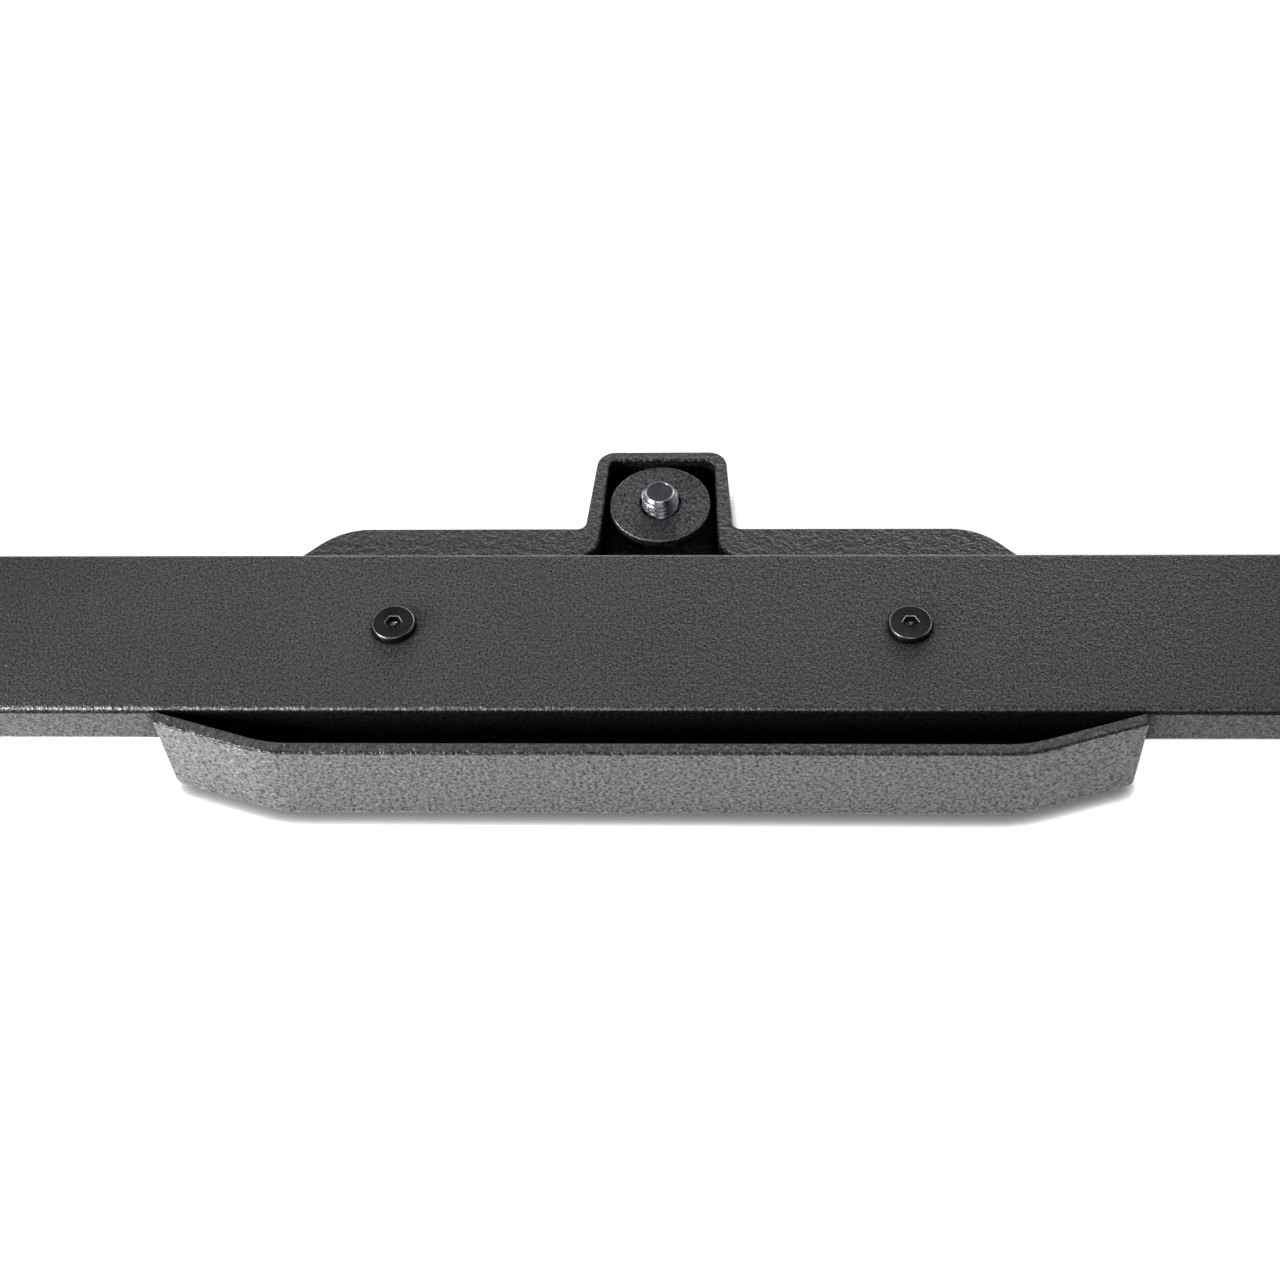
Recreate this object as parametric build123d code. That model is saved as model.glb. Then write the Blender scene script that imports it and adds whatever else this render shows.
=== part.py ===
from build123d import *
import math
import os

# Fold-up tailgate step.
# Millimetres, +Z up, +X along the tread, the vehicle on the +Y side.
# The origin is the centre of the four mounting holes, on the plane that
# bears against the vehicle.

# Mounting brackets
hole_pitch_x = 552.0
hole_pitch_z = 56.0
mount_hole_diameter = 11.0
back_plate_thickness = 6.0
back_plate_half_height = 42.0
back_plate_inner_x = 255.0
back_plate_outer_x = 322.0
cheek_thickness = 6.0
cheek_end_radius = 17.0
stop_lug_radius = 10.0
plate_corner_radius = 8.0

# Pivot
pivot_y = -32.0
pivot_z = 0.0
pivot_bolt_diameter = 12.0
cheek_bore_diameter = 12.2
pivot_head_across_flats = 18.0
pivot_head_height = 7.5
pivot_washer_diameter = 24.0
pivot_washer_thickness = 2.5
pivot_nut_height = 12.0
pivot_thread_end = 3.0
bush_outer_diameter = 16.0
bush_bore_diameter = 12.1
bush_seat_clearance = 0.02
thrust_washer_diameter = 27.0
thrust_washer_thickness = 2.0
thrust_gap = 0.05
stop_pin_diameter = 10.0
stop_pin_gap = 0.3
stop_pin_reach = 28.0
stop_pin_overhang = 1.5

# Arms
arm_inner_x = 300.0
arm_thickness = 8.0
arm_pivot_radius = 16.0
arm_elbow_radius = 13.0
arm_elbow_y = -128.0
arm_elbow_z = -53.0
arm_pad_margin = 6.0
arm_pad_corner = 7.0

# Tread tube
tread_length = 600.0
tread_depth = 61.0
tread_height = 15.2
tread_wall = 2.0
tread_edge_radius = 1.9
tread_bore_radius = 0.6
tread_rear_y = -150.0
tread_top_z = -46.0

# End blocks and the bolts that hold the arms to them
block_length = 26.0
block_clearance = 0.1
arm_bolt_offset = 17.0
arm_bolt_diameter = 6.0
arm_bolt_hole_diameter = 6.3
arm_bolt_thread_bore = 6.1
arm_bolt_reach = 20.0
arm_bolt_across_flats = 10.0
arm_bolt_head_height = 4.0
arm_washer_diameter = 13.0
arm_washer_thickness = 1.6

# Centre casting
casting_drop = 31.3
casting_wall = 4.0
lip_gap = 11.4
lip_thickness = 4.0
lip_straight_half = 110.2
lip_end_half = 145.3
lip_end_clearance = 0.3
lip_outer_bend = 44.0
lip_inner_bend = 40.0
lip_bottom_inset = 0.5
lip_corner_radius = 2.5
wing_reach = 23.7
wing_half = 103.0
wing_side_half = 118.8
wing_side_reach = 8.4
wing_band = 13.0
wing_corner_radius = 23.0
wing_side_radius = 10.0
hat_reach = 57.9
hat_half_root = 24.0
hat_half_end = 21.1
hat_corner_radius = 6.0
hat_root_radius = 3.0
pocket_half_root = 19.6
pocket_half_end = 17.4
pocket_corner_radius = 3.0
pocket_root_radius = 9.0
chamber_half = 34.0
chamber_front = 32.0
trough_depth = 20.0
rib_width = 4.0
edge_break = 0.8

# Screws that hold the casting to the tread
screw_half_pitch = 78.0
screw_from_rear = 29.3
screw_diameter = 6.0
screw_hole_diameter = 6.4
screw_thread_bore = 6.1
screw_head_diameter = 13.0
screw_head_height = 2.2
screw_head_round = 0.7
screw_socket_across_flats = 4.0
screw_socket_depth = 1.5
screw_length = 27.0
boss_diameter = 17.0
sleeve_diameter = 12.0

# Catch stud and its disc
stud_from_rear = 35.4
stud_diameter = 12.0
stud_core_diameter = 10.2
stud_pitch = 1.75
stud_end_chamfer = 1.35
stud_stand = 5.6
stud_hole_diameter = 12.4
disc_diameter = 33.0
disc_thickness = 3.0
disc_top_drop = 1.0
disc_edge_round = 0.7
disc_bore_diameter = 14.0
stud_washer_diameter = 22.0
stud_nut_across_flats = 18.0
stud_nut_height = 6.9

# Derived positions
arm_mid_x = arm_inner_x + arm_thickness / 2
slot_half = arm_thickness / 2 + thrust_washer_thickness + thrust_gap
tread_front_y = tread_rear_y - tread_depth
tread_mid_y = tread_rear_y - tread_depth / 2
tread_mid_z = tread_top_z - tread_height / 2
tread_under_z = tread_top_z - tread_height
casting_under_z = tread_top_z - casting_drop
casting_floor_z = casting_under_z + casting_wall
flange_under_z = tread_under_z - casting_wall
disc_top_z = tread_under_z - disc_top_drop
disc_under_z = disc_top_z - disc_thickness
stud_y = tread_rear_y + stud_from_rear
stud_tip_z = disc_top_z + stud_stand
nut_top_z = casting_floor_z + stud_nut_height
screw_y = tread_rear_y - screw_from_rear
SIDES = (("left", -1), ("right", 1))


def x_rod(diameter, x0, x1, y, z):
    """Round bar along X between x0 and x1."""
    axis = Plane((x0, y, z), x_dir=(0, 1, 0), z_dir=(math.copysign(1, x1 - x0), 0, 0))
    return extrude(axis * Circle(diameter / 2), abs(x1 - x0))


def z_rod(diameter, z0, z1, x, y):
    """Round bar along Z between z0 and z1."""
    return extrude(Plane((x, y, z0)) * Circle(diameter / 2), z1 - z0)


def x_hex(across_flats, x0, x1, y, z):
    """Hexagonal bar along X between x0 and x1."""
    axis = Plane((x0, y, z), x_dir=(0, 1, 0), z_dir=(math.copysign(1, x1 - x0), 0, 0))
    return extrude(axis * RegularPolygon(across_flats / math.sqrt(3), 6), abs(x1 - x0))


def z_hex(across_flats, z0, z1, x, y):
    """Hexagonal bar along Z between z0 and z1."""
    return extrude(Plane((x, y, z0)) * RegularPolygon(across_flats / math.sqrt(3), 6), z1 - z0)


def plan_slab(sketch, z0, z1):
    """Extrude a plan outline between two heights."""
    return extrude(Pos(0, 0, z0) * sketch, z1 - z0)


def side_slab(sketch, x0, x1):
    """Extrude an outline drawn in Y and Z between two X positions."""
    plane = Plane((min(x0, x1), 0, 0), x_dir=(0, 1, 0), z_dir=(1, 0, 0))
    return extrude(plane * sketch, abs(x1 - x0))


def mirrored(points):
    """Close a right-hand half outline with its mirror image."""
    return points + [(-x, y) for x, y in reversed(points)]


def rounded(points, radii):
    """Polygon with a radius at each vertex whose position is listed."""
    outline = Polygon(*points, align=None)
    for corner, radius in radii:
        found = outline.vertices().sort_by_distance(Vector(corner[0], corner[1], 0))[0]
        outline = fillet(found, radius)
    return outline


def both(points, radius):
    """Radius entries for a corner and its mirror image."""
    return [((x, y), radius) for x, y in points] + [((-x, y), radius) for x, y in points]


def save(name, *solids):
    """Write one node."""
    shape = solids[0] if len(solids) == 1 else Compound(children=list(solids))
    export_step(shape, f"parts/{name}.step")


# ---------------------------------------------------------------- stop pin
arm_run = Vector(arm_elbow_y - pivot_y, arm_elbow_z - pivot_z)
arm_taper = math.asin((arm_pivot_radius - arm_elbow_radius) / arm_run.length)
arm_dir = arm_run.normalized()
edge_dir = arm_dir.rotate(Axis.Z, -math.degrees(arm_taper))
edge_down = Vector(-edge_dir.Y, edge_dir.X)
stop_offset = arm_pivot_radius + stop_pin_diameter / 2 + stop_pin_gap
stop_y = pivot_y + edge_dir.X * stop_pin_reach + edge_down.X * stop_offset
stop_z = pivot_z + edge_dir.Y * stop_pin_reach + edge_down.Y * stop_offset


# ---------------------------------------------------------------- brackets
def bracket(side):
    """Back plate with two cheeks that hold the pivot bolt and the stop pin."""
    width = back_plate_outer_x - back_plate_inner_x
    plate_mid_x = side * (back_plate_outer_x + back_plate_inner_x) / 2
    plate_plane = Plane((plate_mid_x, 0, 0), x_dir=(1, 0, 0), z_dir=(0, -1, 0))
    plate_shape = RectangleRounded(width, 2 * back_plate_half_height, plate_corner_radius)
    body = extrude(plate_plane * plate_shape, back_plate_thickness)
    root_height = back_plate_half_height - plate_corner_radius + cheek_end_radius
    root_mid_z = (cheek_end_radius - back_plate_half_height + plate_corner_radius) / 2
    root = Pos(-back_plate_thickness / 2, root_mid_z) * Rectangle(back_plate_thickness, root_height)
    nose = Pos(pivot_y, pivot_z) * Circle(cheek_end_radius)
    lug = Pos(stop_y, stop_z) * Circle(stop_lug_radius)
    cheek_shape = make_hull((root + nose + lug).edges())
    for face in (slot_half, -slot_half - cheek_thickness):
        x0 = side * arm_mid_x + face
        body += side_slab(cheek_shape, x0, x0 + cheek_thickness)
    x_in = side * (arm_mid_x - slot_half - 2 * cheek_thickness)
    x_out = side * (arm_mid_x + slot_half + 2 * cheek_thickness)
    body -= x_rod(cheek_bore_diameter, x_in, x_out, pivot_y, pivot_z)
    body -= x_rod(stop_pin_diameter, x_in, x_out, stop_y, stop_z)
    for end in (-1, 1):
        centre = Plane((side * hole_pitch_x / 2, 0, end * hole_pitch_z / 2), z_dir=(0, -1, 0))
        body -= extrude(centre * Circle(mount_hole_diameter / 2), back_plate_thickness)
    return body


cheek_out = slot_half + cheek_thickness
stop_pins = []
pivot_bolts = []
pivot_washers = []
pivot_nuts = []
thrust_washers = []
bushes = []
for name, side in SIDES:
    save(f"bracket_{name}", bracket(side))
    mid = side * arm_mid_x
    outer_face = mid + side * cheek_out
    inner_face = mid - side * cheek_out
    pin_in = inner_face - side * stop_pin_overhang
    pin_out = outer_face + side * stop_pin_overhang
    stop_pins.append(x_rod(stop_pin_diameter, pin_in, pin_out, stop_y, stop_z))
    head_seat = outer_face + side * pivot_washer_thickness
    head_top = head_seat + side * pivot_head_height
    nut_seat = inner_face - side * pivot_washer_thickness
    nut_top = nut_seat - side * pivot_nut_height
    shank = x_rod(pivot_bolt_diameter, head_seat, nut_top - side * pivot_thread_end, pivot_y, pivot_z)
    head = x_hex(pivot_head_across_flats, head_seat, head_top, pivot_y, pivot_z)
    pivot_bolts.append(shank + head)
    nut = x_hex(pivot_head_across_flats, nut_seat, nut_top, pivot_y, pivot_z)
    nut -= x_rod(cheek_bore_diameter, nut_seat, nut_top, pivot_y, pivot_z)
    pivot_nuts.append(nut)
    for near, far in ((outer_face, head_seat), (inner_face, nut_seat)):
        washer = x_rod(pivot_washer_diameter, near, far, pivot_y, pivot_z)
        washer -= x_rod(cheek_bore_diameter, near, far, pivot_y, pivot_z)
        pivot_washers.append(washer)
    for direction in (-1, 1):
        near = mid + direction * (arm_thickness / 2 + thrust_gap)
        far = near + direction * thrust_washer_thickness
        washer = x_rod(thrust_washer_diameter, near, far, pivot_y, pivot_z)
        washer -= x_rod(cheek_bore_diameter, near, far, pivot_y, pivot_z)
        thrust_washers.append(washer)
    bush = x_rod(bush_outer_diameter, mid - arm_thickness / 2, mid + arm_thickness / 2, pivot_y, pivot_z)
    bush -= x_rod(bush_bore_diameter, mid - arm_thickness / 2, mid + arm_thickness / 2, pivot_y, pivot_z)
    bushes.append(bush)

os.makedirs("parts", exist_ok=True)
save("stop_pins", *stop_pins)
save("pivot_bolts", *pivot_bolts)
save("pivot_washers", *pivot_washers)
save("pivot_nuts", *pivot_nuts)
save("thrust_washers", *thrust_washers)
save("arm_bushes", *bushes)


# ---------------------------------------------------------------- arms
def arm(side):
    """Plate arm from the pivot down to the end of the tread."""
    nose = Pos(pivot_y, pivot_z) * Circle(arm_pivot_radius)
    elbow = Pos(arm_elbow_y, arm_elbow_z) * Circle(arm_elbow_radius)
    pad_depth = tread_depth + 2 * arm_pad_margin
    pad_height = tread_height + 2 * arm_pad_margin
    pad = Pos(tread_mid_y, tread_mid_z) * RectangleRounded(pad_depth, pad_height, arm_pad_corner)
    outline = make_hull((nose + elbow).edges()) + make_hull((elbow + pad).edges())
    x0 = side * arm_inner_x
    x1 = side * (arm_inner_x + arm_thickness)
    body = side_slab(outline, x0, x1)
    bore = bush_outer_diameter + bush_seat_clearance
    body -= x_rod(bore, x0, x1, pivot_y, pivot_z)
    for step in (-arm_bolt_offset, arm_bolt_offset):
        body -= x_rod(arm_bolt_hole_diameter, x0, x1, tread_mid_y + step, tread_mid_z)
    return body


def end_block(side):
    """Solid block welded inside the tube end, tapped for the arm bolts."""
    depth = tread_depth - 2 * tread_wall - 2 * block_clearance
    height = tread_height - 2 * tread_wall - 2 * block_clearance
    x0 = side * (arm_inner_x - block_length)
    x1 = side * arm_inner_x
    outline = Pos(tread_mid_y, tread_mid_z) * RectangleRounded(depth, height, edge_break)
    body = side_slab(outline, x0, x1)
    for step in (-arm_bolt_offset, arm_bolt_offset):
        body -= x_rod(arm_bolt_thread_bore, x0, x1, tread_mid_y + step, tread_mid_z)
    return body


arm_bolts = []
arm_washers = []
for name, side in SIDES:
    save(f"arm_{name}", arm(side))
    save(f"end_block_{name}", end_block(side))
    arm_face = side * (arm_inner_x + arm_thickness)
    head_seat = arm_face + side * arm_washer_thickness
    head_top = head_seat + side * arm_bolt_head_height
    tip = side * (arm_inner_x - arm_bolt_reach)
    for step in (-arm_bolt_offset, arm_bolt_offset):
        y = tread_mid_y + step
        bolt = x_rod(arm_bolt_diameter, head_seat, tip, y, tread_mid_z)
        bolt += x_hex(arm_bolt_across_flats, head_seat, head_top, y, tread_mid_z)
        arm_bolts.append(bolt)
        washer = x_rod(arm_washer_diameter, arm_face, head_seat, y, tread_mid_z)
        washer -= x_rod(arm_bolt_hole_diameter, arm_face, head_seat, y, tread_mid_z)
        arm_washers.append(washer)
save("arm_bolts", *arm_bolts)
save("arm_washers", *arm_washers)

# ---------------------------------------------------------------- tread tube
tube_outer = RectangleRounded(tread_depth, tread_height, tread_edge_radius)
tube_inner = RectangleRounded(
    tread_depth - 2 * tread_wall, tread_height - 2 * tread_wall, tread_bore_radius
)
tube_section = Pos(tread_mid_y, tread_mid_z) * (tube_outer - tube_inner)
tread_tube = side_slab(tube_section, -tread_length / 2, tread_length / 2)
for end in (-1, 1):
    x = end * screw_half_pitch
    tread_tube -= z_rod(screw_hole_diameter, tread_under_z, tread_top_z, x, screw_y)
save("tread_tube", tread_tube)

# ---------------------------------------------------------------- centre casting
lip_inner_y = tread_front_y - lip_gap
lip_outer_y = lip_inner_y - lip_thickness
lip_end_y = tread_front_y - lip_end_clearance
lip_slope = math.atan2(lip_end_y - lip_inner_y, lip_end_half - lip_straight_half)
lip_end_outer_y = lip_end_y - lip_thickness / math.cos(lip_slope)
lip_bend_outer_x = lip_straight_half + lip_thickness * math.tan(lip_slope / 2)
rear_y = tread_rear_y + wing_reach
hat_y = tread_rear_y + hat_reach
wing_side_y = tread_rear_y + wing_side_reach

lip_outer = rounded(
    mirrored([(lip_bend_outer_x, lip_outer_y), (lip_end_half, lip_end_outer_y),
              (lip_end_half, lip_end_y)]),
    both([(lip_bend_outer_x, lip_outer_y)], lip_outer_bend),
)
lip_inner = rounded(
    mirrored([(lip_straight_half, lip_inner_y), (lip_end_half, lip_end_y)]),
    both([(lip_straight_half, lip_inner_y)], lip_inner_bend),
)
lip = plan_slab(lip_outer - lip_inner, casting_under_z, tread_top_z)

front_half = [(lip_bend_outer_x, lip_outer_y), (lip_end_half, lip_end_outer_y),
              (wing_side_half, wing_side_y), (wing_half, rear_y),
              (hat_half_root, rear_y), (hat_half_end, hat_y)]
outline = rounded(
    mirrored(front_half),
    both([(lip_bend_outer_x, lip_outer_y)], lip_outer_bend)
    + both([(wing_half, rear_y)], wing_corner_radius)
    + both([(wing_side_half, wing_side_y)], wing_side_radius)
    + both([(hat_half_root, rear_y)], hat_root_radius)
    + both([(hat_half_end, hat_y)], hat_corner_radius),
)
inset = offset(Polygon(*mirrored(front_half), align=None), -casting_wall, kind=Kind.INTERSECTION)

pocket_root_y = rear_y - wing_band
pocket_end_y = hat_y - casting_wall
chamber_y = tread_rear_y - chamber_front
pocket = rounded(
    mirrored([(chamber_half, chamber_y), (chamber_half, pocket_root_y),
              (pocket_half_root, pocket_root_y), (pocket_half_end, pocket_end_y)]),
    both([(chamber_half, chamber_y), (pocket_half_end, pocket_end_y)], pocket_corner_radius)
    + both([(pocket_half_root, pocket_root_y)], pocket_root_radius),
)
trough_rear_y = tread_front_y + trough_depth
trough_inner = rounded(
    mirrored([(lip_straight_half, lip_inner_y), (lip_end_half - casting_wall, tread_front_y),
              (lip_end_half - casting_wall, trough_rear_y)]),
    both([(lip_straight_half, lip_inner_y)], lip_inner_bend),
)
trough = trough_inner & inset

under_depth = rear_y - trough_rear_y - rib_width
under_mid_y = trough_rear_y + rib_width + under_depth / 2
under_inner_x = chamber_half + rib_width
under_width = lip_end_half - under_inner_x
tray = plan_slab(outline, casting_under_z, tread_under_z)
tray -= plan_slab(pocket + trough, casting_floor_z, tread_under_z)
for end in (-1, 1):
    window = Pos(end * (under_inner_x + under_width / 2), under_mid_y) * Rectangle(under_width, under_depth)
    relief = plan_slab(window & inset, casting_under_z, flange_under_z)
    relief -= z_rod(boss_diameter, casting_under_z, flange_under_z, end * screw_half_pitch, screw_y)
    tray -= relief
casting = tray + lip

end_profile = Polygon(
    (lip_bottom_inset - lip_end_half, casting_under_z),
    (lip_end_half - lip_bottom_inset, casting_under_z),
    (lip_end_half, tread_top_z), (-lip_end_half, tread_top_z), align=None,
)
end_profile = fillet(end_profile.vertices().group_by(Axis.Y)[0], lip_corner_radius)
trim_plane = Plane((0, hat_y, 0), x_dir=(1, 0, 0), z_dir=(0, -1, 0))
casting &= extrude(trim_plane * end_profile, hat_y - lip_outer_y)
casting = fillet(casting.edges().filter_by(Plane.XY).group_by(Axis.Z)[-1], edge_break)
casting = fillet(casting.faces().sort_by(Axis.Z)[0].outer_wire().edges(), edge_break)
rim_edges = casting.edges().filter_by_position(Axis.Z, tread_under_z, tread_under_z)
casting = fillet(rim_edges.filter_by_position(Axis.Y, tread_rear_y + edge_break, hat_y), edge_break)
for end in (-1, 1):
    x = end * screw_half_pitch
    casting -= z_rod(screw_thread_bore, casting_under_z, tread_under_z, x, screw_y)
casting -= z_rod(stud_hole_diameter, casting_under_z, casting_floor_z, 0, stud_y)
save("centre_casting", casting)

# ---------------------------------------------------------------- casting screws
sleeves = []
screws = []
for end in (-1, 1):
    x = end * screw_half_pitch
    sleeve = z_rod(sleeve_diameter, tread_under_z + tread_wall, tread_top_z - tread_wall, x, screw_y)
    sleeve -= z_rod(screw_hole_diameter, tread_under_z, tread_top_z, x, screw_y)
    sleeves.append(sleeve)
    head_top = tread_top_z + screw_head_height
    head = z_rod(screw_head_diameter, tread_top_z, head_top, x, screw_y)
    head = fillet(head.edges().group_by(Axis.Z)[-1], screw_head_round)
    head -= z_hex(screw_socket_across_flats, head_top - screw_socket_depth, head_top, x, screw_y)
    screws.append(head + z_rod(screw_diameter, tread_top_z - screw_length, tread_top_z, x, screw_y))
save("crush_sleeves", *sleeves)
save("casting_screws", *screws)

# ---------------------------------------------------------------- catch stud
disc = z_rod(disc_diameter, disc_under_z, disc_top_z, 0, stud_y)
disc = fillet(disc.edges(), disc_edge_round)
disc -= z_rod(disc_bore_diameter, disc_under_z, disc_top_z, 0, stud_y)
save("catch_disc", disc)

stud_washer = z_rod(stud_washer_diameter, nut_top_z, disc_under_z, 0, stud_y)
stud_washer -= z_rod(stud_hole_diameter, nut_top_z, disc_under_z, 0, stud_y)
save("stud_washer", stud_washer)
stud_nut = z_hex(stud_nut_across_flats, casting_floor_z, nut_top_z, 0, stud_y)
stud_nut -= z_rod(stud_hole_diameter, casting_floor_z, nut_top_z, 0, stud_y)
save("stud_nut", stud_nut)

stud = z_rod(stud_diameter, casting_under_z, stud_tip_z, 0, stud_y)
stud = chamfer(stud.edges().group_by(Axis.Z)[-1], stud_end_chamfer)
groove_depth = (stud_diameter - stud_core_diameter) / 2
groove_profile = Polygon(
    (stud_diameter / 2, -stud_pitch / 2), (stud_diameter / 2, stud_pitch / 2),
    (stud_diameter / 2 - groove_depth, 0), align=None,
)
groove = Pos(0, stud_y, 0) * revolve(Plane.XZ * groove_profile, Axis.Z)
for index in range(math.floor((stud_stand - stud_end_chamfer) / stud_pitch)):
    z = stud_tip_z - stud_end_chamfer - stud_pitch * (index + 0.5)
    stud -= Pos(0, 0, z) * groove
save("catch_stud", stud)
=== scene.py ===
import math

import bmesh
import bpy
from mathutils import Matrix, Vector


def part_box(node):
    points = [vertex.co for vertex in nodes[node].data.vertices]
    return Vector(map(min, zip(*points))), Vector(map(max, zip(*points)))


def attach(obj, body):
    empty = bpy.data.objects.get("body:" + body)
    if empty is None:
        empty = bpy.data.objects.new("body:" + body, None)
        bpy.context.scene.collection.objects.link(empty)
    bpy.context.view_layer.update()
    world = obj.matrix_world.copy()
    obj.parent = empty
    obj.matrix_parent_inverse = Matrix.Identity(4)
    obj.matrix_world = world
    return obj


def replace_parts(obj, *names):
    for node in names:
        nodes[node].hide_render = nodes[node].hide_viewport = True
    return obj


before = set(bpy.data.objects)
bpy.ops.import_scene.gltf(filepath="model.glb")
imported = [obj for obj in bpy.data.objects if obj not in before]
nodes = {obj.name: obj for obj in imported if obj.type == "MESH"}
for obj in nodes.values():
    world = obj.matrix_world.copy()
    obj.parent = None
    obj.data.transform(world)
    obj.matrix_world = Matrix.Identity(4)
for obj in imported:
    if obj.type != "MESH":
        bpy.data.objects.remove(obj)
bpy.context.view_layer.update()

# ------------------------------------------------------------------ places taken from the frame
tread_lo, tread_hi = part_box("tread_tube")
casting_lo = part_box("centre_casting")[0]


# ------------------------------------------------------------------ node helpers
def new_material(name):
    """An empty material with its Principled shader."""
    material = bpy.data.materials.new(name)
    material.use_nodes = True
    tree = material.node_tree
    tree.nodes.clear()
    shader = tree.nodes.new("ShaderNodeBsdfPrincipled")
    output = tree.nodes.new("ShaderNodeOutputMaterial")
    tree.links.new(shader.outputs["BSDF"], output.inputs["Surface"])
    return material, tree, shader


def noise(tree, scale, detail=3.0, roughness=0.55):
    """Fractal noise in object coordinates; scale is in cells per metre."""
    place = tree.nodes.new("ShaderNodeTexCoord")
    texture = tree.nodes.new("ShaderNodeTexNoise")
    texture.inputs["Scale"].default_value = scale
    texture.inputs["Detail"].default_value = detail
    texture.inputs["Roughness"].default_value = roughness
    tree.links.new(place.outputs["Object"], texture.inputs["Vector"])
    return texture.outputs["Fac"]


def ramp(tree, source, stops):
    """Colour ramp; stops are (position, grey or colour)."""
    node = tree.nodes.new("ShaderNodeValToRGB")
    elements = node.color_ramp.elements
    while len(elements) < len(stops):
        elements.new(0.5)
    for element, (position, colour) in zip(elements, stops):
        element.position = position
        rgb = (colour,) * 3 if isinstance(colour, float) else colour
        element.color = (*rgb, 1)
    tree.links.new(source, node.inputs["Fac"])
    return node.outputs["Color"]


def bump(tree, height, distance, under=None):
    """Bump of a height field, distance in metres."""
    node = tree.nodes.new("ShaderNodeBump")
    node.inputs["Distance"].default_value = distance
    tree.links.new(height, node.inputs["Height"])
    if under is not None:
        tree.links.new(under, node.inputs["Normal"])
    return node.outputs["Normal"]


def centred(tree, source, spread=1.0):
    """Scale a value and shift it so that zero sits in the middle of a ramp."""
    node = tree.nodes.new("ShaderNodeMath")
    node.operation = "MULTIPLY_ADD"
    node.inputs[1].default_value = spread
    node.inputs[2].default_value = 0.5
    tree.links.new(source, node.inputs[0])
    return node.outputs["Value"]


def dulled(colour, share):
    """A darker tone of a colour."""
    return tuple(part * share for part in colour)


# ------------------------------------------------------------------ materials
COAT_IOR = 1.7
GRAIN_LOW = 0.32            # stretch of the noise that becomes one grain of the coat
GRAIN_HIGH = 0.68
PATCH_SCALE = 18.0          # cells per metre of the wide changes in roughness
WAVE_SPREAD = 2.2           # orange peel against the sand grain: its width and depth
WAVE_DEPTH = 1.5
METAL_PATCHES = 220.0
METAL_MARKS = 1500.0
PLASTIC_GRAIN = 900.0
FINE_BUMP = 0.00003


def hollow_shade(tree, reach, own_only, stops):
    """Painted shade: open faces read 1, the depths of pockets and narrow gaps fall to 0."""
    node = tree.nodes.new("ShaderNodeAmbientOcclusion")
    node.samples = 8
    node.only_local = own_only
    node.inputs["Distance"].default_value = reach
    return ramp(tree, node.outputs["AO"], stops)


def product(tree, first, second):
    """Multiply two values."""
    node = tree.nodes.new("ShaderNodeMath")
    node.operation = "MULTIPLY"
    tree.links.new(first, node.inputs[0])
    tree.links.new(second, node.inputs[1])
    return node.outputs["Value"]


def facing(tree):
    """How far a face of the part looks up: 0 down, 0.5 level, 1 up."""
    place = tree.nodes.new("ShaderNodeTexCoord")
    split = tree.nodes.new("ShaderNodeSeparateXYZ")
    tree.links.new(place.outputs["Normal"], split.inputs["Vector"])
    return centred(tree, split.outputs["Z"], 0.5)


def painted_facing_ramp(tree, facing_up, side, edge_foot, edge, top, under_edge, under):
    """Painted light and shade by facing: gloss scaled from upright sides over the foot and crest of
    rounded edges to tops, and below.
    """
    lower = [(0.01, under), (0.06, under_edge), (0.44, under_edge), (0.49, side)]
    upper = [(0.51, side), (0.56, edge_foot), (0.8, edge_foot), (0.88, edge), (0.96, edge), (0.99, top)]
    return ramp(tree, facing_up, lower + upper)


def blend(tree, share, first, second):
    """Mix two values."""
    node = tree.nodes.new("ShaderNodeMix")
    tree.links.new(share, node.inputs["Factor"])
    tree.links.new(first, node.inputs["A"])
    tree.links.new(second, node.inputs["B"])
    return node.outputs["Result"]


def powder_coat(name, dark, light, grain, depth, rough, speckle, top_speckle, painted_facing_light,
                reach=0.02, own_only=True):
    """Black powder coat: sand grain over orange peel, glossier on the grain tops, with painted light and
    shade in its gloss by facing and painted shade that dulls it in hollows.
    """
    material, tree, shader = new_material(name)
    shader.inputs["IOR"].default_value = COAT_IOR
    fine = noise(tree, grain, detail=2.0, roughness=0.6)
    wave = noise(tree, grain / WAVE_SPREAD, detail=2.0)
    patch = noise(tree, PATCH_SCALE, detail=4.0)
    up = facing(tree)
    side_gloss = ramp(tree, fine, [(GRAIN_LOW, speckle[0]), (GRAIN_HIGH, speckle[1])])
    top_gloss = ramp(tree, fine, [(GRAIN_LOW, top_speckle[0]), (GRAIN_HIGH, top_speckle[1])])
    gloss = blend(tree, ramp(tree, up, [(0.9, 0.0), (0.99, 1.0)]), side_gloss, top_gloss)
    # painted shade: the gloss falls away in pockets and narrow gaps
    painted_hollow_shade = hollow_shade(tree, reach, own_only, [(0.6, 0.0), (0.89, 1.0)])
    tree.links.new(ramp(tree, fine, [(0.3, dark), (0.72, light)]), shader.inputs["Base Color"])
    tree.links.new(ramp(tree, patch, [(0.3, rough[0]), (0.7, rough[1])]), shader.inputs["Roughness"])
    # painted light and shade: the gloss is raised or lowered by which way a face looks
    gloss_with_painted_light = product(tree, gloss, painted_facing_ramp(tree, up, *painted_facing_light))
    tree.links.new(product(tree, gloss_with_painted_light, painted_hollow_shade), shader.inputs["Specular IOR Level"])
    under = bump(tree, wave, depth * WAVE_DEPTH)
    tree.links.new(bump(tree, fine, depth, under=under), shader.inputs["Normal"])
    return material


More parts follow.
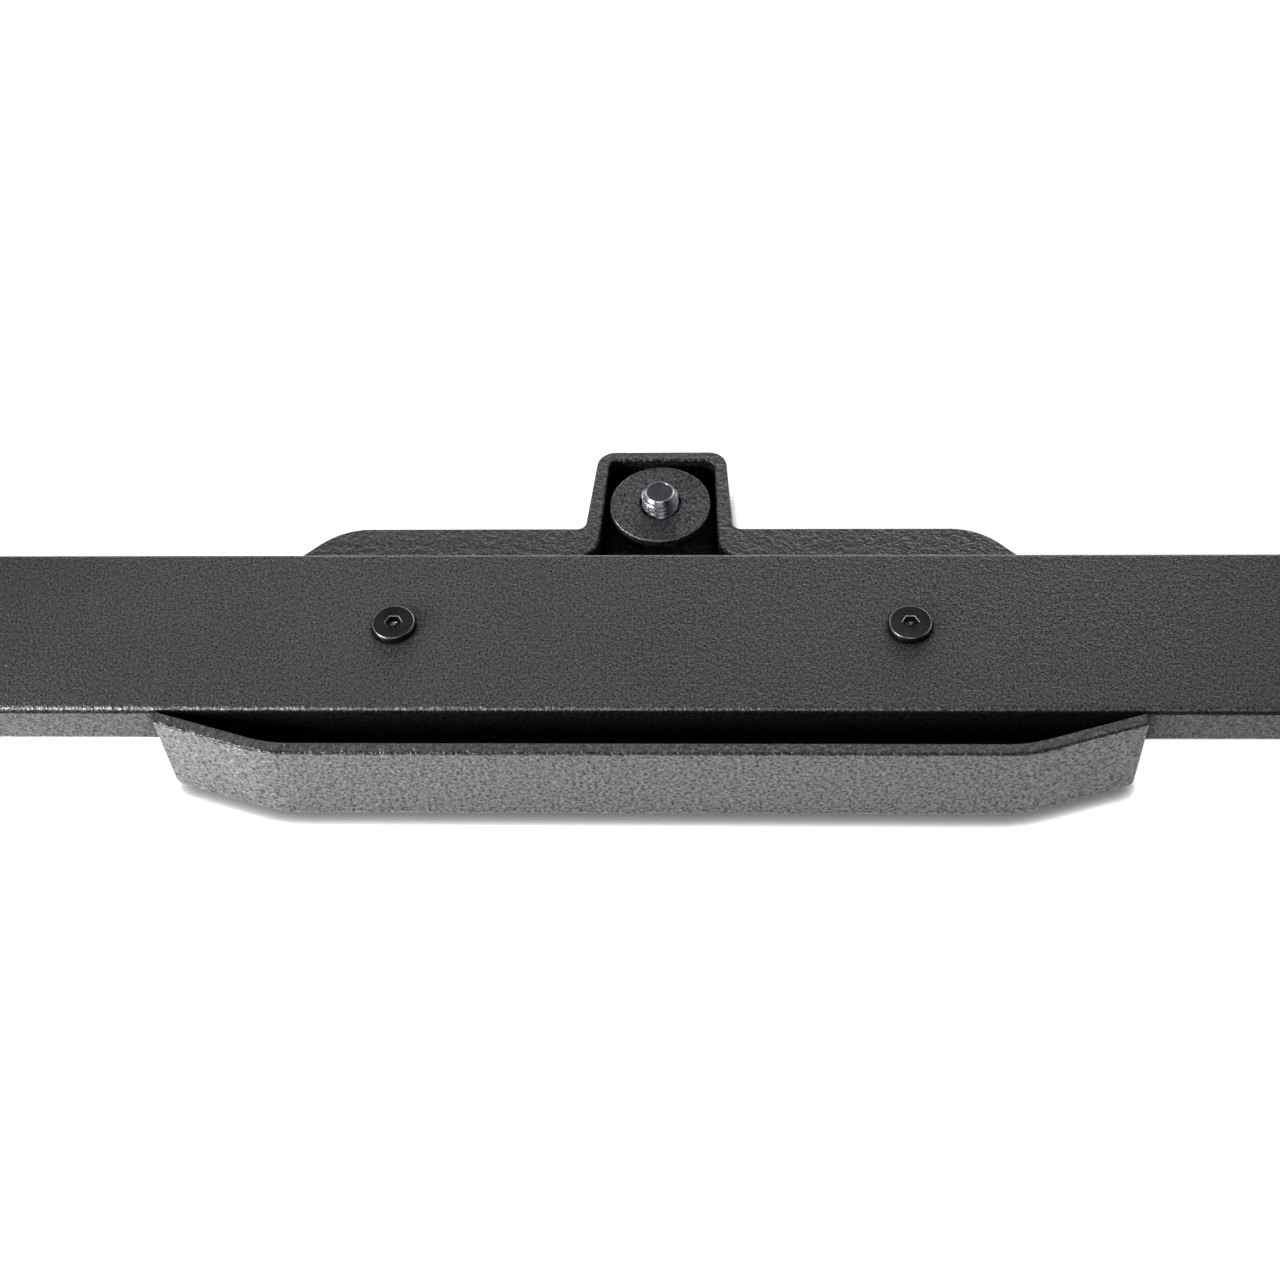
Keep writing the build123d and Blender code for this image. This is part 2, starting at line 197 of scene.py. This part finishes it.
def bare_metal(name, colour, rough):
    """Plated or oiled steel with fine marks and dull patches."""
    material, tree, shader = new_material(name)
    shader.inputs["Metallic"].default_value = 1.0
    patch = noise(tree, METAL_PATCHES, detail=5.0)
    marks = noise(tree, METAL_MARKS, detail=2.0)
    tones = [(0.35, dulled(colour, 0.7)), (0.65, colour)]
    tree.links.new(ramp(tree, patch, tones), shader.inputs["Base Color"])
    tree.links.new(ramp(tree, marks, [(0.3, rough[0]), (0.7, rough[1])]), shader.inputs["Roughness"])
    tree.links.new(bump(tree, marks, FINE_BUMP), shader.inputs["Normal"])
    return material


def plain_plastic(name, colour):
    """Dull moulded plastic."""
    material, tree, shader = new_material(name)
    grain = noise(tree, PLASTIC_GRAIN, detail=3.0)
    tones = [(0.3, dulled(colour, 0.8)), (0.7, colour)]
    tree.links.new(ramp(tree, grain, tones), shader.inputs["Base Color"])
    tree.links.new(ramp(tree, grain, [(0.3, 0.5), (0.7, 0.65)]), shader.inputs["Roughness"])
    tree.links.new(bump(tree, grain, FINE_BUMP), shader.inputs["Normal"])
    return material


# the facing factors of each coat paint light and shade: gloss on sides, the foot and crest of rounded
# edges, tops, edges below and the underside
COAT_DARK = (0.001, 0.001, 0.0011)
COAT_LIGHT = (0.003, 0.003, 0.0033)
FINE_SPECKLE = (0.12, 0.88)
tread_paint = powder_coat("tread_powder_coat", COAT_DARK, COAT_LIGHT, grain=1500.0, depth=0.00025,
                          rough=(0.42, 0.5), speckle=FINE_SPECKLE, top_speckle=(0.08, 0.92),
                          painted_facing_light=(0.74, 0.12, 1.1, 1.0, 2.5, 0.45), own_only=False)
casting_paint = powder_coat("casting_powder_coat", COAT_DARK, COAT_LIGHT, grain=950.0, depth=0.0005,
                            rough=(0.4, 0.5), speckle=(0.08, 0.96), top_speckle=(0.34, 0.7),
                            painted_facing_light=(1.26, 0.38, 0.38, 1.06, 3.5, 0.45), reach=0.03)
bracket_paint = powder_coat("bracket_powder_coat", COAT_DARK, COAT_LIGHT, grain=1500.0, depth=0.00025,
                            rough=(0.42, 0.5), speckle=FINE_SPECKLE, top_speckle=FINE_SPECKLE,
                            painted_facing_light=(0.5, 0.9, 0.9, 0.7, 0.9, 0.7))
disc_paint = powder_coat("disc_coat", (0.002, 0.002, 0.0022), (0.006, 0.006, 0.0063), grain=1600.0,
                         depth=0.0003, rough=(0.42, 0.52), speckle=(0.05, 0.85), top_speckle=(0.02, 0.9),
                         painted_facing_light=(1.3, 2.0, 2.0, 1.08, 1.3, 1.0))
black_steel = bare_metal("black_oxide_steel", (0.042, 0.042, 0.044), (0.28, 0.4))
# lighter steels for rims, edges and socket floors: partly rubbed bare metal, partly painted highlight
worn_highlight_steel = bare_metal("rubbed_edge_highlight_steel", (0.5, 0.5, 0.51), (0.22, 0.34))
rubbed_black_highlight = bare_metal("rubbed_black_highlight_steel", (0.2, 0.2, 0.205), (0.24, 0.36))
zinc_steel = bare_metal("zinc_plated_steel", (0.3, 0.31, 0.325), (0.3, 0.44))
stud_steel = bare_metal("stud_steel", (0.115, 0.117, 0.125), (0.24, 0.38))
bush_bronze = bare_metal("sintered_bronze", (0.50, 0.36, 0.17), (0.35, 0.5))
mill_steel = bare_metal("mill_steel", (0.30, 0.30, 0.31), (0.35, 0.55))
washer_plastic = plain_plastic("washer_nylon", (0.06, 0.06, 0.065))

NODE_MATERIALS = {
    tread_paint: ["tread_tube"],
    casting_paint: ["centre_casting"],
    bracket_paint: ["bracket_left", "bracket_right", "arm_left", "arm_right"],
    disc_paint: ["catch_disc"],
    black_steel: ["casting_screws"],
    zinc_steel: ["pivot_bolts", "pivot_washers", "pivot_nuts", "stop_pins",
                 "arm_bolts", "arm_washers", "stud_washer", "stud_nut"],
    stud_steel: ["catch_stud"],
    bush_bronze: ["arm_bushes"],
    mill_steel: ["end_block_left", "end_block_right", "crush_sleeves"],
    washer_plastic: ["thrust_washers"],
}
for material, names in NODE_MATERIALS.items():
    for name in names:
        for mesh_slot in nodes[name].material_slots:
            mesh_slot.material = material


# ------------------------------------------------------------------ turned and hexagonal pieces
SEGMENTS = 96
SMOOTH_ANGLE = math.radians(35)
CHAMFER_STEPS = 8
CHAMFER_FACE = 0.95         # face left by the chamfer, as a share of the flats
THREAD_STEPS = 10
HIDDEN_THREAD_STEPS = 6
THREAD_RUNOUT = 0.0002
THREAD_DEPTH = 0.55         # as a share of the pitch
THREAD_SLOPE = 2.4          # steepness of the flanks; above 2 leaves a flat crest
HEAD_DISH = (0.44, 0.2)     # radii of the dish in a head, as shares of the flats


def circle(radius, height):
    """Ring of points round the piece's own axis."""
    turn = 2 * math.pi / SEGMENTS
    return [(radius * math.cos(i * turn), radius * math.sin(i * turn), height) for i in range(SEGMENTS)]


def hexagon(across_flats, height, limit=1.0):
    """Hexagonal ring, trimmed to a circle where the chamfer cuts its corners."""
    points = []
    for i in range(SEGMENTS):
        angle = 2 * math.pi * i / SEGMENTS
        from_flat = angle % (math.pi / 3) - math.pi / 6
        radius = min(across_flats / 2 / math.cos(from_flat), limit)
        points.append((radius * math.cos(angle), radius * math.sin(angle), height))
    return points


def chamfered_hex(across_flats, low, high):
    """Rings of a hexagon whose corners are turned off at 30 degrees at the high end."""
    corner = across_flats / math.sqrt(3)
    flat_radius = across_flats / 2 * CHAMFER_FACE
    drop = (corner - flat_radius) * math.tan(math.pi / 6)
    rings = [hexagon(across_flats, low)]
    towards = math.copysign(drop, high - low)
    for step in range(CHAMFER_STEPS + 1):
        share = step / CHAMFER_STEPS
        limit = corner + (flat_radius - corner) * share
        rings.append(hexagon(across_flats, high - towards * (1 - share), limit))
    return rings


def hex_head(across_flats, seat, top, dish):
    """Rings of a bolt head from its seat to its slightly dished top."""
    floor = top + math.copysign(dish, seat - top)
    rings = chamfered_hex(across_flats, seat, top)
    return rings + [circle(across_flats * share, floor) for share in HEAD_DISH]


def threaded(radius, pitch, low, high, point, steps=THREAD_STEPS):
    """Rings of a V thread along the axis, turned down to a cone over the last stretch."""
    depth = THREAD_DEPTH * pitch
    count = max(2, round(abs(high - low) / pitch * steps))
    rings = []
    for step in range(count + 1):
        height = low + (high - low) * step / count
        limit = radius - point + abs(high - height)
        points = []
        for i in range(SEGMENTS):
            wave = (abs(height - low) / pitch - i / SEGMENTS) % 1
            cut = depth * max(0.0, 1 - abs(wave - 0.5) * THREAD_SLOPE)
            reach = min(radius - cut, limit)
            angle = 2 * math.pi * i / SEGMENTS
            points.append((reach * math.cos(angle), reach * math.sin(angle), height))
        rings.append(points)
    return rings


def upright(x, y):
    """Place a piece's own axis along Z."""
    return lambda u, v, w: (x + u, y + v, w)


def sideways(y, z):
    """Place a piece's own axis along X."""
    return lambda u, v, w: (w, y + u, z + v)


class Skin:
    """Faces gathered from rows of rings."""

    def __init__(self):
        self.points = []
        self.faces = []
        self.trim = set()

    def add(self, rings, place, looped=False, trim_rows=()):
        """Skin the rings in order; the ends are capped, or joined to each other."""
        start = len(self.points)
        size = len(rings[0])
        for ring in rings:
            self.points.extend(place(*point) for point in ring)
        for row in range(len(rings) if looped else len(rings) - 1):
            near = start + row * size
            far = start + (row + 1) % len(rings) * size
            if row in trim_rows:
                self.trim.update(range(len(self.faces), len(self.faces) + size))
            for i in range(size):
                after = (i + 1) % size
                self.faces.append((near + i, near + after, far + after, far + i))
        if not looped:
            last = start + (len(rings) - 1) * size
            self.faces.append(tuple(range(start + size - 1, start - 1, -1)))
            self.faces.append(tuple(range(last, last + size)))

    def piece(self, name, body, slot, material, trim_material=None):
        """Turn the faces into an object that rides on a body."""
        mesh = bpy.data.meshes.new(name)
        mesh.from_pydata(self.points, [], self.faces)
        clean = bmesh.new()
        clean.from_mesh(mesh)
        bmesh.ops.recalc_face_normals(clean, faces=clean.faces)
        clean.to_mesh(mesh)
        clean.free()
        mesh.shade_smooth()
        mesh.set_sharp_from_angle(angle=SMOOTH_ANGLE)
        mesh.materials.append(material)
        if trim_material is not None:
            mesh.materials.append(trim_material)
            for index in self.trim:
                mesh.polygons[index].material_index = 1
        piece = bpy.data.objects.new(name, mesh)
        bpy.context.scene.collection.objects.link(piece)
        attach(piece, body)
        return piece


def centre(node):
    """Middle of a node's box."""
    low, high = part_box(node)
    return (low + high) / 2


def side_span(node, side):
    """Nearest and farthest distance from the middle plane of a node's solids on one side."""
    reach = [side * vertex.co.x for vertex in nodes[node].data.vertices if side * vertex.co.x > 0]
    return min(reach), max(reach)


# ------------------------------------------------------------------ catch stud
stud_lo, stud_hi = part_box("catch_stud")
stud_place = upright(centre("catch_stud").x, centre("catch_stud").y)
STUD_PITCH = 0.00175
STUD_END = 0.00135
STUD_RIM = 0.0005
THREAD_MARGIN = 0.00002     # keeps the thread inside the stud's box
stud_radius = (stud_hi.x - stud_lo.x) / 2 - THREAD_MARGIN
stud = Skin()
stud_thread_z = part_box("stud_nut")[0].z
stud_rings = [circle(stud_radius, stud_lo.z)]
stud_rings += threaded(stud_radius, STUD_PITCH, stud_thread_z, stud_hi.z - STUD_RIM / 3, STUD_END)
rim_row = len(stud_rings) - 1
shoulder_row = rim_row - round(STUD_END / STUD_PITCH * THREAD_STEPS)
face_radius = stud_radius - STUD_END
stud_rings += [circle(face_radius - STUD_RIM / 3, stud_hi.z), circle(face_radius - STUD_RIM, stud_hi.z)]
dish_z = stud_hi.z - STUD_RIM / 2
stud_rings += [circle(face_radius - STUD_RIM * 1.2, dish_z), circle(face_radius / 3, dish_z)]
# lighter worn steel on the end cone's shoulder and the end face's rim: partly rubbed bare steel, partly
# painted highlight
stud.add(stud_rings, stud_place, trim_rows=(shoulder_row, rim_row, rim_row + 1))
stud_piece = stud.piece("stud_threaded", "step", "stud_steel", stud_steel, worn_highlight_steel)
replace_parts(stud_piece, "catch_stud")

# ------------------------------------------------------------------ casting screws
screw_lo, screw_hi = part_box("casting_screws")
SCREW_SHANK = 0.003
SCREW_PITCH = 0.001
SOCKET_FLATS = 0.0044
SOCKET_DEPTH = 0.0015
RIM = 0.0007
ARC_STEPS = 8
head_radius = (screw_hi.y - screw_lo.y) / 2
screws = Skin()
for end in (-1, 1):
    head_x = (screw_hi.x + screw_lo.x) / 2 + end * ((screw_hi.x - screw_lo.x) / 2 - head_radius)
    thread_top = tread_hi.z - THREAD_RUNOUT
    rings = threaded(SCREW_SHANK, SCREW_PITCH, thread_top, screw_lo.z, SCREW_PITCH / 2)[::-1]
    rings += [circle(SCREW_SHANK, tread_hi.z), circle(head_radius - RIM / 4, tread_hi.z)]
    rings += [circle(head_radius, tread_hi.z + RIM / 4)]
    rim_row = len(rings) + ARC_STEPS // 2
    for step in range(ARC_STEPS + 1):
        turn = step / ARC_STEPS * math.pi / 2
        arc_radius = head_radius - RIM + RIM * math.cos(turn)
        rings.append(circle(arc_radius, screw_hi.z - RIM + RIM * math.sin(turn)))
    face_z = screw_hi.z - RIM / 8
    floor_z = screw_hi.z - SOCKET_DEPTH
    rings += [circle(head_radius - 1.4 * RIM, face_z), hexagon(SOCKET_FLATS + RIM / 2, face_z)]
    rings += [hexagon(SOCKET_FLATS, face_z - RIM / 4), hexagon(SOCKET_FLATS, floor_z)]
    rings += [circle(SOCKET_FLATS / 4, floor_z), circle(SOCKET_FLATS / 12, floor_z - RIM)]
    # lighter rubbed steel on the upper rim and the socket's mouth, partly rubbed and partly painted
    # highlight, and a painted glint on the socket's floor
    trim_rows = [*range(rim_row, rim_row + ARC_STEPS // 4), len(rings) - 5, len(rings) - 2]
    screws.add(rings, upright(head_x, (screw_hi.y + screw_lo.y) / 2), trim_rows=trim_rows)
screw_piece = screws.piece("socket_screws", "step", "black_steel", black_steel, rubbed_black_highlight)
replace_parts(screw_piece, "casting_screws")

# ------------------------------------------------------------------ pivot bolts and nuts
PIVOT_PITCH = 0.00175
NUT_BORE = 0.0061
NUT_BORE_CHAMFER = 0.0006
PIVOT_RADIUS = 0.006
PIVOT_DISH = 0.0003
pivot_bolts = Skin()
pivot_nuts = Skin()
pivot_lo, pivot_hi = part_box("pivot_bolts")
pivot_flats = pivot_hi.z - pivot_lo.z
pivot_place = sideways((pivot_lo.y + pivot_hi.y) / 2, (pivot_lo.z + pivot_hi.z) / 2)
for side in (-1, 1):
    tip, head_top = side_span("pivot_bolts", side)
    washer_face = side_span("pivot_washers", side)[1]
    nut_near, nut_far = side_span("pivot_nuts", side)
    rings = threaded(PIVOT_RADIUS, PIVOT_PITCH, side * nut_far, side * tip, PIVOT_PITCH)[::-1]
    rings += [circle(PIVOT_RADIUS, side * x) for x in (nut_far + THREAD_RUNOUT, washer_face)]
    rings += hex_head(pivot_flats, side * washer_face, side * head_top, PIVOT_DISH)
    pivot_bolts.add(rings, pivot_place)
    middle_x = (nut_near + nut_far) / 2
    rings = chamfered_hex(pivot_flats, side * middle_x, side * nut_near)[::-1]
    rings += chamfered_hex(pivot_flats, side * middle_x, side * nut_far)[1:]
    mouth = NUT_BORE + NUT_BORE_CHAMFER
    rings += [circle(mouth, side * nut_far), circle(NUT_BORE, side * (nut_far - NUT_BORE_CHAMFER))]
    rings += [circle(NUT_BORE, side * (nut_near + NUT_BORE_CHAMFER)), circle(mouth, side * nut_near)]
    pivot_nuts.add(rings, pivot_place, looped=True)
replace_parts(pivot_bolts.piece("pivot_hex_bolts", "mounts", "zinc_steel", zinc_steel), "pivot_bolts")
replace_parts(pivot_nuts.piece("pivot_hex_nuts", "mounts", "zinc_steel", zinc_steel), "pivot_nuts")

# ------------------------------------------------------------------ arm bolts
ARM_BOLT_RADIUS = 0.003
ARM_BOLT_DISH = 0.0002
arm_bolts = Skin()
arm_lo, arm_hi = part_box("arm_bolts")
arm_flats = arm_hi.z - arm_lo.z
arm_spread = (arm_hi.y - arm_lo.y) / 2 - arm_flats / math.sqrt(3)
for side in (-1, 1):
    tip, head_top = side_span("arm_bolts", side)
    washer_face = side_span("arm_washers", side)[1]
    for end in (-1, 1):
        rings = threaded(ARM_BOLT_RADIUS, SCREW_PITCH, side * washer_face, side * tip, SCREW_PITCH,
                         HIDDEN_THREAD_STEPS)[::-1]
        rings += hex_head(arm_flats, side * washer_face, side * head_top, ARM_BOLT_DISH)
        place = sideways((arm_lo.y + arm_hi.y) / 2 + end * arm_spread, (arm_lo.z + arm_hi.z) / 2)
        arm_bolts.add(rings, place)
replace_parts(arm_bolts.piece("arm_hex_bolts", "step", "zinc_steel", zinc_steel), "arm_bolts")

# ------------------------------------------------------------------ welds between cheeks and back plates
WELD_LEG = 0.0045
WELD_RIPPLE = 0.0019
WELD_CREST = 0.0003
WELD_SUNK = 0.0005
WELD_BOW = 0.12
WELD_LAG = 0.4              # how far a ripple trails behind in the middle of the bead
WELD_START = 0.6            # leg at either end, as a share of the full leg
RIPPLE_STEPS = 6
ACROSS = 10
PLATE_THICKNESS = 0.006
PIVOT_WASHER_THICKNESS = 0.0025
WELD_LOW = -0.033
WELD_HIGH = 0.015


def weld_bead(low, high):
    """Rings of a rippled fillet weld along its axis, lying in the corner between +u and +v."""
    count = round((high - low) / WELD_RIPPLE * RIPPLE_STEPS)
    rings = []
    for step in range(count + 1):
        height = low + (high - low) * step / count
        from_end = min(height - low, high - height)
        leg = WELD_LEG * min(1.0, WELD_START + from_end / WELD_LEG / 2)
        points = [(-WELD_SUNK, -WELD_SUNK, height)]
        for i in range(ACROSS + 1):
            turn = math.pi / 2 * i / ACROSS
            bow = math.sin(2 * turn)
            wave = ((height - low) / WELD_RIPPLE + WELD_LAG * bow) % 1
            reach = leg / (math.cos(turn) + math.sin(turn)) * (1 + WELD_BOW * bow)
            reach += WELD_CREST * (1 - wave)
            points.append((reach * math.cos(turn) - WELD_SUNK, reach * math.sin(turn) - WELD_SUNK, height))
        rings.append(points)
    return rings


def in_corner(x, outward, y):
    """Place a bead in the corner between a cheek's face and the front of the back plate."""
    return lambda u, v, w: (x + outward * u, y - v, w)


welds = Skin()
for side, node in ((-1, "bracket_left"), (1, "bracket_right")):
    plate_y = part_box(node)[1].y - PLATE_THICKNESS
    washers_near, washers_far = side_span("pivot_washers", side)
    inner_face = washers_near + PIVOT_WASHER_THICKNESS
    outer_face = washers_far - PIVOT_WASHER_THICKNESS
    for face, outward in ((inner_face, -side), (outer_face, side)):
        welds.add(weld_bead(WELD_LOW, WELD_HIGH), in_corner(side * face, outward, plate_y))
welds.piece("bracket_welds", "mounts", "bracket_paint", bracket_paint)


# ------------------------------------------------------------------ floor
FLOOR_DROP = 0.004          # floor below the lowest point of the centre bracket
FLOOR_SIZE = 12.0
CONTACT_REACH = 0.0055      # how near something has to be for the painted shadow on the floor


def pale_floor(level, size, glow, tint, painted_left_light):
    """Wide backlit table under the step: its glow is raised to the left as a painted pool of light, and
    painted shadow dims its glow and colour where the step is just above it.
    """
    material, tree, shader = new_material("floor_white")
    shader.inputs["Roughness"].default_value = 0.9
    shader.inputs["Specular IOR Level"].default_value = 0.0
    shader.inputs["Emission Color"].default_value = (0.98, 0.99, 1.0, 1)
    # painted shadow: the glow dims where the step is just above the floor
    near = hollow_shade(tree, CONTACT_REACH, False, [(0.5, 0.1), (0.85, 0.24), (0.97, glow)])
    place = tree.nodes.new("ShaderNodeTexCoord")
    split = tree.nodes.new("ShaderNodeSeparateXYZ")
    tree.links.new(place.outputs["Object"], split.inputs["Vector"])
    # painted pool of light: the glow rises to the left of the step
    across = ramp(tree, centred(tree, split.outputs["X"]), [(0.3, painted_left_light), (0.4, 1.1), (0.48, 1.0)])
    tree.links.new(product(tree, near, across), shader.inputs["Emission Strength"])
    # painted shadow: the colour darkens where the step is just above the floor
    painted_shadow_tone = hollow_shade(tree, CONTACT_REACH, False, [(0.5, 0.02), (0.85, 0.08), (0.97, tint)])
    tree.links.new(painted_shadow_tone, shader.inputs["Base Color"])
    mesh = bpy.data.meshes.new("floor")
    half = size / 2
    corners = [(-half, -half, level), (half, -half, level), (half, half, level), (-half, half, level)]
    mesh.from_pydata(corners, [], [(0, 1, 2, 3)])
    floor = bpy.data.objects.new("floor", mesh)
    floor.data.materials.append(material)
    bpy.context.scene.collection.objects.link(floor)


pale_floor(casting_lo.z - FLOOR_DROP, FLOOR_SIZE, glow=0.9, tint=0.45, painted_left_light=1.8)


# ------------------------------------------------------------------ light
def area_light(name, place, aim, width, height, power, colour=(1, 1, 1)):
    """Soft rectangular light."""
    data = bpy.data.lights.new(name, "AREA")
    data.shape = "RECTANGLE"
    data.size = width
    data.size_y = height
    data.energy = power
    data.color = colour
    light = bpy.data.objects.new(name, data)
    light.location = place
    light.rotation_euler = (Vector(aim) - Vector(place)).to_track_quat("-Z", "Y").to_euler()
    bpy.context.scene.collection.objects.link(light)


def studio_sky(horizon, low, high, front, left):
    """Pale tent: bright at the horizon, dimmer above and to the left, dark on the camera's side."""
    world = bpy.data.worlds.new("studio")
    world.use_nodes = True
    tree = world.node_tree
    background = tree.nodes["Background"]
    place = tree.nodes.new("ShaderNodeTexCoord")
    split = tree.nodes.new("ShaderNodeSeparateXYZ")
    tree.links.new(place.outputs["Generated"], split.inputs["Vector"])
    height = ramp(tree, split.outputs["Z"], [(0.0, horizon), (0.22, horizon), (0.4, low), (1.0, high)])
    depth = ramp(tree, centred(tree, split.outputs["Y"]), [(0.05, front), (0.45, 1.0)])
    across = ramp(tree, centred(tree, split.outputs["X"]), [(0.2, left), (0.75, 1.0)])
    strength = product(tree, product(tree, height, depth), across)
    tree.links.new(strength, background.inputs["Strength"])
    background.inputs["Color"].default_value = (0.96, 0.98, 1.0, 1)
    bpy.context.scene.world = world


SIDE_LIGHT = Vector((-0.75, -0.42, 0.25))
FRONT_LIGHT = Vector((0.0, -1.3, 1.5))
middle = Vector((0, (tread_lo.y + tread_hi.y) / 2, tread_hi.z))
area_light("side", middle + SIDE_LIGHT, middle, 0.4, 0.3, 38, (0.95, 0.98, 1.0))
area_light("front", middle + FRONT_LIGHT, middle, 1.0, 0.8, 9)
studio_sky(horizon=4.5, low=0.62, high=0.55, front=0.05, left=0.6)

# ------------------------------------------------------------------ camera
ELEVATION = math.radians(51.53)
AZIMUTH = math.radians(3.14)
ROLL = math.radians(2.45)
DISTANCE = 0.5932
AIM_RIGHT = 0.0153
AIM_UP = 0.0200
LENS = 57.10
SHIFT = -0.0443


def add_camera(origin):
    """Perspective camera above the front of the step."""
    right = Vector((math.cos(AZIMUTH), math.sin(AZIMUTH), 0))
    level = Vector((-math.sin(AZIMUTH), math.cos(AZIMUTH), 0))
    forward = level * math.cos(ELEVATION) - Vector((0, 0, math.sin(ELEVATION)))
    up = right.cross(forward)
    place = origin + right * AIM_RIGHT + up * AIM_UP - forward * DISTANCE
    side = right * math.cos(ROLL) - up * math.sin(ROLL)
    top = right * math.sin(ROLL) + up * math.cos(ROLL)
    turn = Matrix((side, top, -forward)).transposed()
    data = bpy.data.cameras.new("camera")
    data.lens = LENS
    data.sensor_width = 36.0
    data.shift_x = SHIFT
    data.clip_start = 0.01
    camera = bpy.data.objects.new("camera", data)
    camera.matrix_world = Matrix.Translation(place) @ turn.to_4x4()
    bpy.context.scene.collection.objects.link(camera)
    bpy.context.scene.camera = camera


add_camera(Vector((0, tread_lo.y, tread_hi.z)))
bpy.context.scene.view_settings.view_transform = "Standard"
